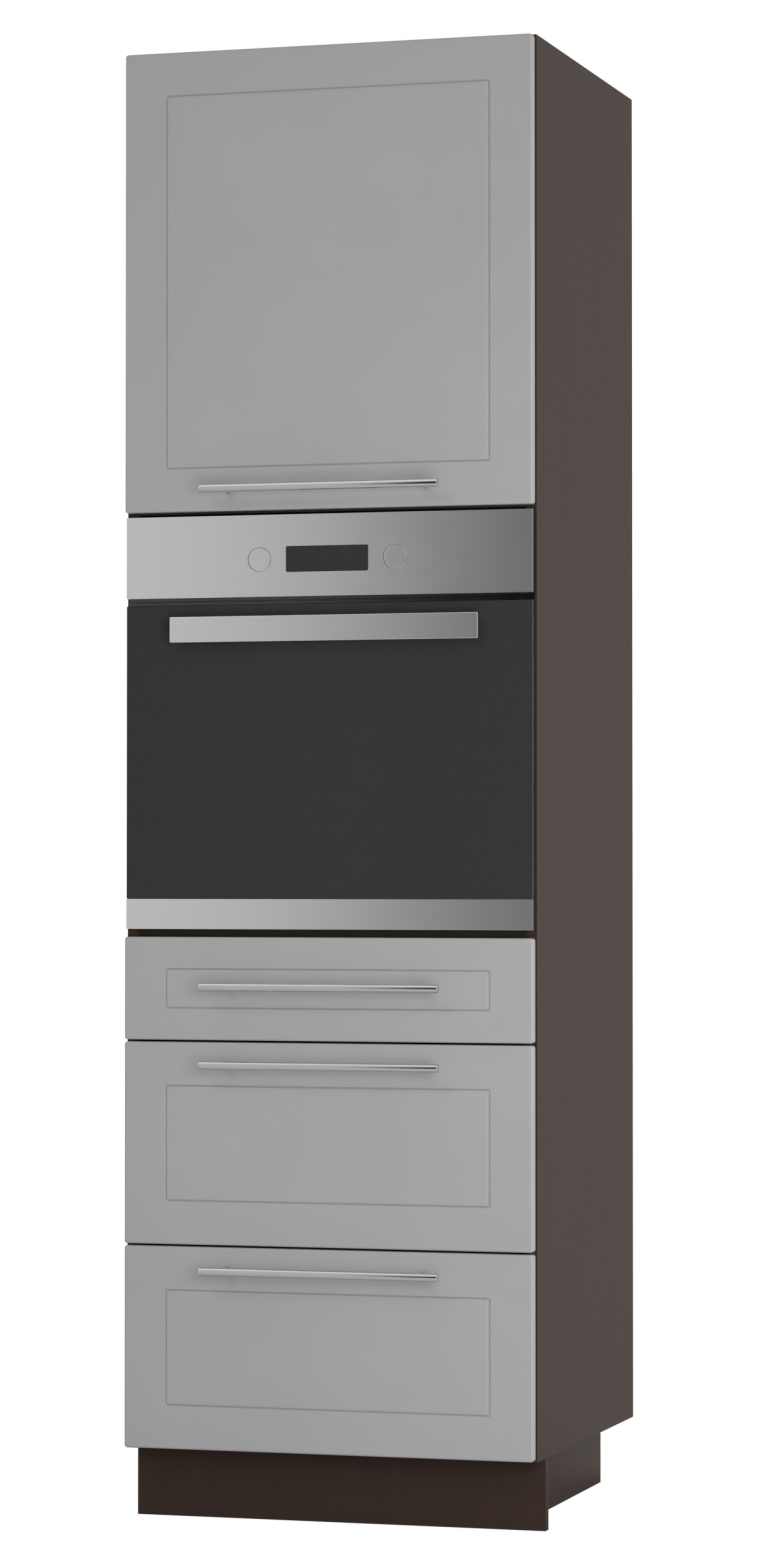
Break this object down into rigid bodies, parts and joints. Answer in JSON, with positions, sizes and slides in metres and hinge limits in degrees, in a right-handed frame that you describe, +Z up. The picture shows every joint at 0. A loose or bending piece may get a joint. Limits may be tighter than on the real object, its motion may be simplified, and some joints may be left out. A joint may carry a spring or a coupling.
{
  "type": "tall oven housing unit",
  "caption": "Tall fitted kitchen unit with a lift-up cupboard on gas struts, a built-in oven with a drop-down door, and pull-out drawers on a recessed plinth.",
  "frame": {"origin": "on the floor, under the middle of the whole unit's box", "axes": "+Z up along the unit's height, front towards -Y, +X to the right seen from the front"},
  "size_m": [0.6, 0.627, 2.076],
  "materials": {
    "carcase_board": "dark brown melamine-faced board, matt",
    "back_board": "thin dark brown hardboard, matt",
    "front_foil": "neutral grey satin foil over MDF",
    "handle_chrome": "polished chrome",
    "zinc": "zinc-plated, satin",
    "strut_black": "black paint, satin",
    "rod_chrome": "chromed rod",
    "drawer_steel": "silver-grey powder coat",
    "drawer_board": "light melamine board",
    "brushed_steel": "brushed stainless steel",
    "black_glass": "black printed glass, polished",
    "enamel": "dark vitreous enamel",
    "casing_zinc": "galvanised sheet"
  },
  "bodies": {
    "root": {"side_panel_left": "carcase_board", "side_panel_right": "carcase_board", "top_panel": "carcase_board", "cupboard_floor": "carcase_board", "oven_shelf": "carcase_board", "bottom_panel": "carcase_board", "cupboard_shelf": "carcase_board", "plinth_front": "carcase_board", "plinth_side_left": "carcase_board", "plinth_side_right": "carcase_board", "back_panel_upper": "back_board", "back_panel_lower": "back_board", "flap_hinge_arm_left": "zinc", "flap_hinge_arm_right": "zinc", "oven_rack": "rod_chrome", "drawer_1_runner_left": "drawer_steel", "drawer_1_runner_right": "drawer_steel", "drawer_2_runner_left": "drawer_steel", "drawer_2_runner_right": "drawer_steel", "drawer_3_runner_left": "drawer_steel", "drawer_3_runner_right": "drawer_steel", "oven_control_panel": "brushed_steel", "oven_display": "black_glass", "oven_cavity": "enamel", "oven_casing": "casing_zinc"},
    "flap": {"flap_door": "front_foil", "flap_handle": "handle_chrome", "flap_hinge_cup_left": "zinc", "flap_hinge_cup_right": "zinc"},
    "strut_tube_left": {"strut_tube_left": "strut_black"},
    "strut_rod_left": {"strut_rod_left": "rod_chrome"},
    "strut_tube_right": {"strut_tube_right": "strut_black"},
    "strut_rod_right": {"strut_rod_right": "rod_chrome"},
    "drawer_1": {"drawer_1_front": "front_foil", "drawer_1_handle": "handle_chrome", "drawer_1_side_left": "drawer_steel", "drawer_1_side_right": "drawer_steel", "drawer_1_bottom": "drawer_board", "drawer_1_back": "drawer_board"},
    "drawer_2": {"drawer_2_front": "front_foil", "drawer_2_handle": "handle_chrome", "drawer_2_side_left": "drawer_steel", "drawer_2_side_right": "drawer_steel", "drawer_2_bottom": "drawer_board", "drawer_2_back": "drawer_board"},
    "drawer_3": {"drawer_3_front": "front_foil", "drawer_3_handle": "handle_chrome", "drawer_3_side_left": "drawer_steel", "drawer_3_side_right": "drawer_steel", "drawer_3_bottom": "drawer_board", "drawer_3_back": "drawer_board"},
    "oven_door": {"oven_door_glass": "black_glass", "oven_door_trim": "brushed_steel", "oven_door_frame": "enamel", "oven_door_inner_glass": "black_glass", "oven_door_handle": "brushed_steel"},
    "knob_spindle_left": {"knob_spindle_left": "zinc"},
    "knob_cap_left": {"knob_cap_left": "brushed_steel"},
    "knob_spindle_right": {"knob_spindle_right": "zinc"},
    "knob_cap_right": {"knob_cap_right": "brushed_steel"}
  },
  "joints": [
    {"name": "flap_lift", "type": "hinge", "parent": "root", "child": "flap", "pos_m": [0, -0.2525, 2.076], "axis": [-1, 0, 0], "range_deg": [0, 90]},
    {"name": "strut_left_turn", "type": "hinge", "parent": "root", "child": "strut_tube_left", "pos_m": [-0.272, -0.0895, 1.99], "axis": [-1, 0, 0], "range_deg": [0, 6.5]},
    {"name": "strut_left_slide", "type": "slide", "parent": "strut_tube_left", "child": "strut_rod_left", "axis": [0, -0.9687, 0.2484], "range_m": [0, 0.063]},
    {"name": "strut_right_turn", "type": "hinge", "parent": "root", "child": "strut_tube_right", "pos_m": [0.272, -0.0895, 1.99], "axis": [-1, 0, 0], "range_deg": [0, 6.5]},
    {"name": "strut_right_slide", "type": "slide", "parent": "strut_tube_right", "child": "strut_rod_right", "axis": [0, -0.9687, 0.2484], "range_m": [0, 0.063]},
    {"name": "drawer_1_slide", "type": "slide", "parent": "root", "child": "drawer_1", "axis": [0, -1, 0], "range_m": [0, 0.375]},
    {"name": "drawer_2_slide", "type": "slide", "parent": "root", "child": "drawer_2", "axis": [0, -1, 0], "range_m": [0, 0.375]},
    {"name": "drawer_3_slide", "type": "slide", "parent": "root", "child": "drawer_3", "axis": [0, -1, 0], "range_m": [0, 0.375]},
    {"name": "oven_door_hinge", "type": "hinge", "parent": "root", "child": "oven_door", "pos_m": [0, -0.258, 0.8385], "axis": [1, 0, 0], "range_deg": [0, 90]},
    {"name": "knob_left_turn", "type": "hinge", "parent": "root", "child": "knob_spindle_left", "pos_m": [-0.0993, -0.24, 1.3535], "axis": [0, 1, 0], "continuous": true},
    {"name": "knob_left_pop", "type": "slide", "parent": "knob_spindle_left", "child": "knob_cap_left", "axis": [0, -1, 0], "range_m": [0, 0.02]},
    {"name": "knob_right_turn", "type": "hinge", "parent": "root", "child": "knob_spindle_right", "pos_m": [0.0993, -0.24, 1.3535], "axis": [0, 1, 0], "range_deg": [0, 290]},
    {"name": "knob_right_pop", "type": "slide", "parent": "knob_spindle_right", "child": "knob_cap_right", "axis": [0, -1, 0], "range_m": [0, 0.02]}
  ],
  "couplings": [
    {"joint": "strut_left_turn", "follows": "flap_lift", "ratio": 0.07027},
    {"joint": "strut_left_slide", "follows": "flap_lift", "m_per_rad": 0.039716},
    {"joint": "strut_right_turn", "follows": "flap_lift", "ratio": 0.07027},
    {"joint": "strut_right_slide", "follows": "flap_lift", "m_per_rad": 0.039716}
  ]
}
